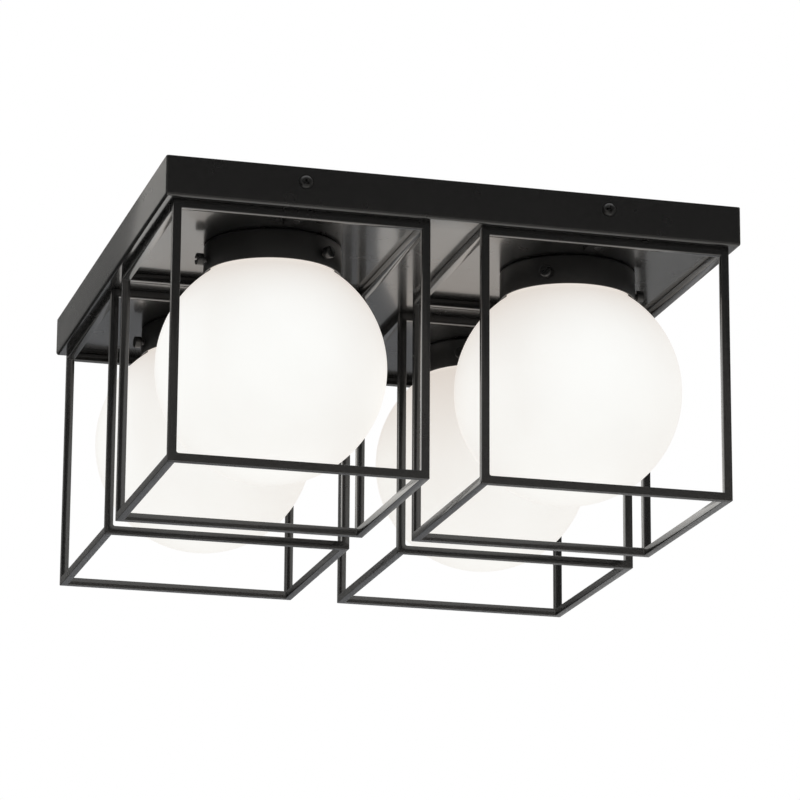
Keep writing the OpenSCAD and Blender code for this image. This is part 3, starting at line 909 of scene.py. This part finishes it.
connectors = bmesh.new()
for y, z in ((-25.0, -8.0), (25.0, -14.0)):
    cone = bmesh.new()
    lathe(cone, [(4.4, 0.0), (5.2, 0.0), (5.5, 0.4), (5.4, 2.6), (5.05, 3.0), (4.2, 18.6),
                 (3.4, 20.0), (0, 20.0), (0, 8.0), (4.4, 8.0)], 72, wobble=ribs)
    gather(connectors, cone, at(0, y, z) @ SIDEWAYS)
piece("ribbed_wire_connectors", connectors, "wire_connectors", smooth=25)


# Camera at the photograph's place, below and in front, looking up

scene = bpy.context.scene
camera_data = bpy.data.cameras.new("camera")
camera_data.sensor_width = 36
camera_data.lens = 176.669
camera_data.clip_start = 0.1
camera_data.clip_end = 150
camera = bpy.data.objects.new("camera", camera_data)
scene.collection.objects.link(camera)
right = Vector((0.96503077, -0.26207322, 0.00576577))
up = Vector((-0.07461805, -0.25354734, 0.96444072))
back = Vector((-0.25129219, -0.9311452, -0.26423637))
facing = Matrix((right, up, back)).transposed().to_4x4()
camera.matrix_world = at(-0.61984706, -2.34273925, -0.75337398) @ facing
scene.camera = camera


# Studio: a white world over a pale floor, one soft box, and grey cards that only show in gloss

scene.view_settings.view_transform = "Standard"
world = bpy.data.worlds.new("studio")
scene.world = world
world.use_nodes = True
sky = world.node_tree
sky.nodes.clear()
rays = add(sky, "LightPath").outputs
seen = add(sky, "Math", {"operation": "MAXIMUM"},
           {0: rays["Is Camera Ray"], 1: rays["Is Glossy Ray"]})
seen = add(sky, "Math", {"operation": "MAXIMUM"}, {0: seen, 1: rays["Is Transmission Ray"]})
fill = add(sky, "Background", {"Color": linear("#FFFEFC"), "Strength": 0.95})
white = add(sky, "Background", {"Color": linear("#FFFFFF"), "Strength": 1.0})
mixed = add(sky, "MixShader", wires={0: seen, 1: fill, 2: white})
add(sky, "OutputWorld", wires={"Surface": mixed})


def board(name, corners, colour, other):
    """A flat stage board with a faintly clouded paint."""
    mesh = bpy.data.meshes.new(name)
    mesh.from_pydata(corners, [], [range(len(corners))])
    obj = bpy.data.objects.new(name, mesh)
    scene.collection.objects.link(obj)
    mat, tree, bsdf, place = surface(name + "_paint", colour, Roughness=0.8)
    clouds = add(tree, "TexNoise", {"Scale": per_metre(300), "Detail": 2.0}, {"Vector": place})
    tones = add(tree, "ValToRGB", wires={"Fac": clouds}, stops=(colour, other))
    wire(tree, bsdf, {"Base Color": tones})
    mesh.materials.append(mat)
    return obj


def card(name, start, end, low, high, colour, other):
    """An upright board between two (x, y) ends that only shows as a reflection, so it shades
    gloss and takes no light away."""
    obj = board(name, [(*start, low), (*end, low), (*end, high), (*start, high)], colour, other)
    obj.visible_camera = obj.visible_diffuse = False
    obj.visible_transmission = obj.visible_shadow = False


FLOOR, SPREAD, WALL, TOP = -3.4, 45, 3.2, 3.8
board("floor", [(x * SPREAD, y * SPREAD, FLOOR) for x, y in ((-1, -1), (1, -1), (1, 1), (-1, 1))],
      "#F4F2EF", "#F7F5F2")

# The cards stand round the light in a square, and parts at the back and left change tone at the
# horizon: black coat that faces down mirrors the low ones, and coat that faces sideways the high
HORIZON, TURN = -0.2, 0.32 * WALL
for name, start, end, low, high, colour, other in (
        ("front", (-WALL, -WALL), (WALL, -WALL), FLOOR, TOP, "#474747", "#4F4F4F"),
        ("right", (WALL, -WALL), (WALL, WALL), FLOOR, TOP, "#7C7C7C", "#848484"),
        ("low_right_back", (WALL, WALL), (TURN, WALL), FLOOR, HORIZON, "#98999B", "#A0A1A3"),
        ("low_back", (TURN, WALL), (0, WALL), FLOOR, HORIZON, "#7E8084", "#86888C"),
        ("low_left_back", (0, WALL), (-WALL, WALL), FLOOR, HORIZON, "#141414", "#1A1A1A"),
        ("high_back", (WALL, WALL), (-WALL, WALL), HORIZON, TOP, "#666666", "#6E6E6E"),
        ("low_left", (-WALL, WALL), (-WALL, -WALL), FLOOR, HORIZON, "#141414", "#1A1A1A"),
        ("high_left", (-WALL, WALL), (-WALL, -WALL), HORIZON, TOP, "#7C7C7C", "#848484"),
        # Brightens the canopy's left face towards its front corner
        ("corner", (-0.312, 0.35), (-0.52, 0.35), 0.08, 0.4, "#C3C2C0", "#C9C8C6"),
        # Brightens the fronts of the lower bars
        ("near_front", (-0.7, -0.5), (0.9, -0.5), -0.5, 0.0, "#9C9A98", "#A4A2A0")):
    card(name + "_card", start, end, low, high, colour, other)

soft_box = bpy.data.lights.new("left_soft_box", "AREA")
soft_box.shape = "RECTANGLE"
soft_box.size, soft_box.size_y = 1.2, 1.6
soft_box.energy = 4.5
lamp = bpy.data.objects.new("left_soft_box", soft_box)
lamp.location = (-1.9, -1.3, -0.7)
lamp.rotation_euler = (Vector((0, 0, -0.1)) - lamp.location).to_track_quat("-Z", "Y").to_euler()
lamp.visible_glossy = False
scene.collection.objects.link(lamp)
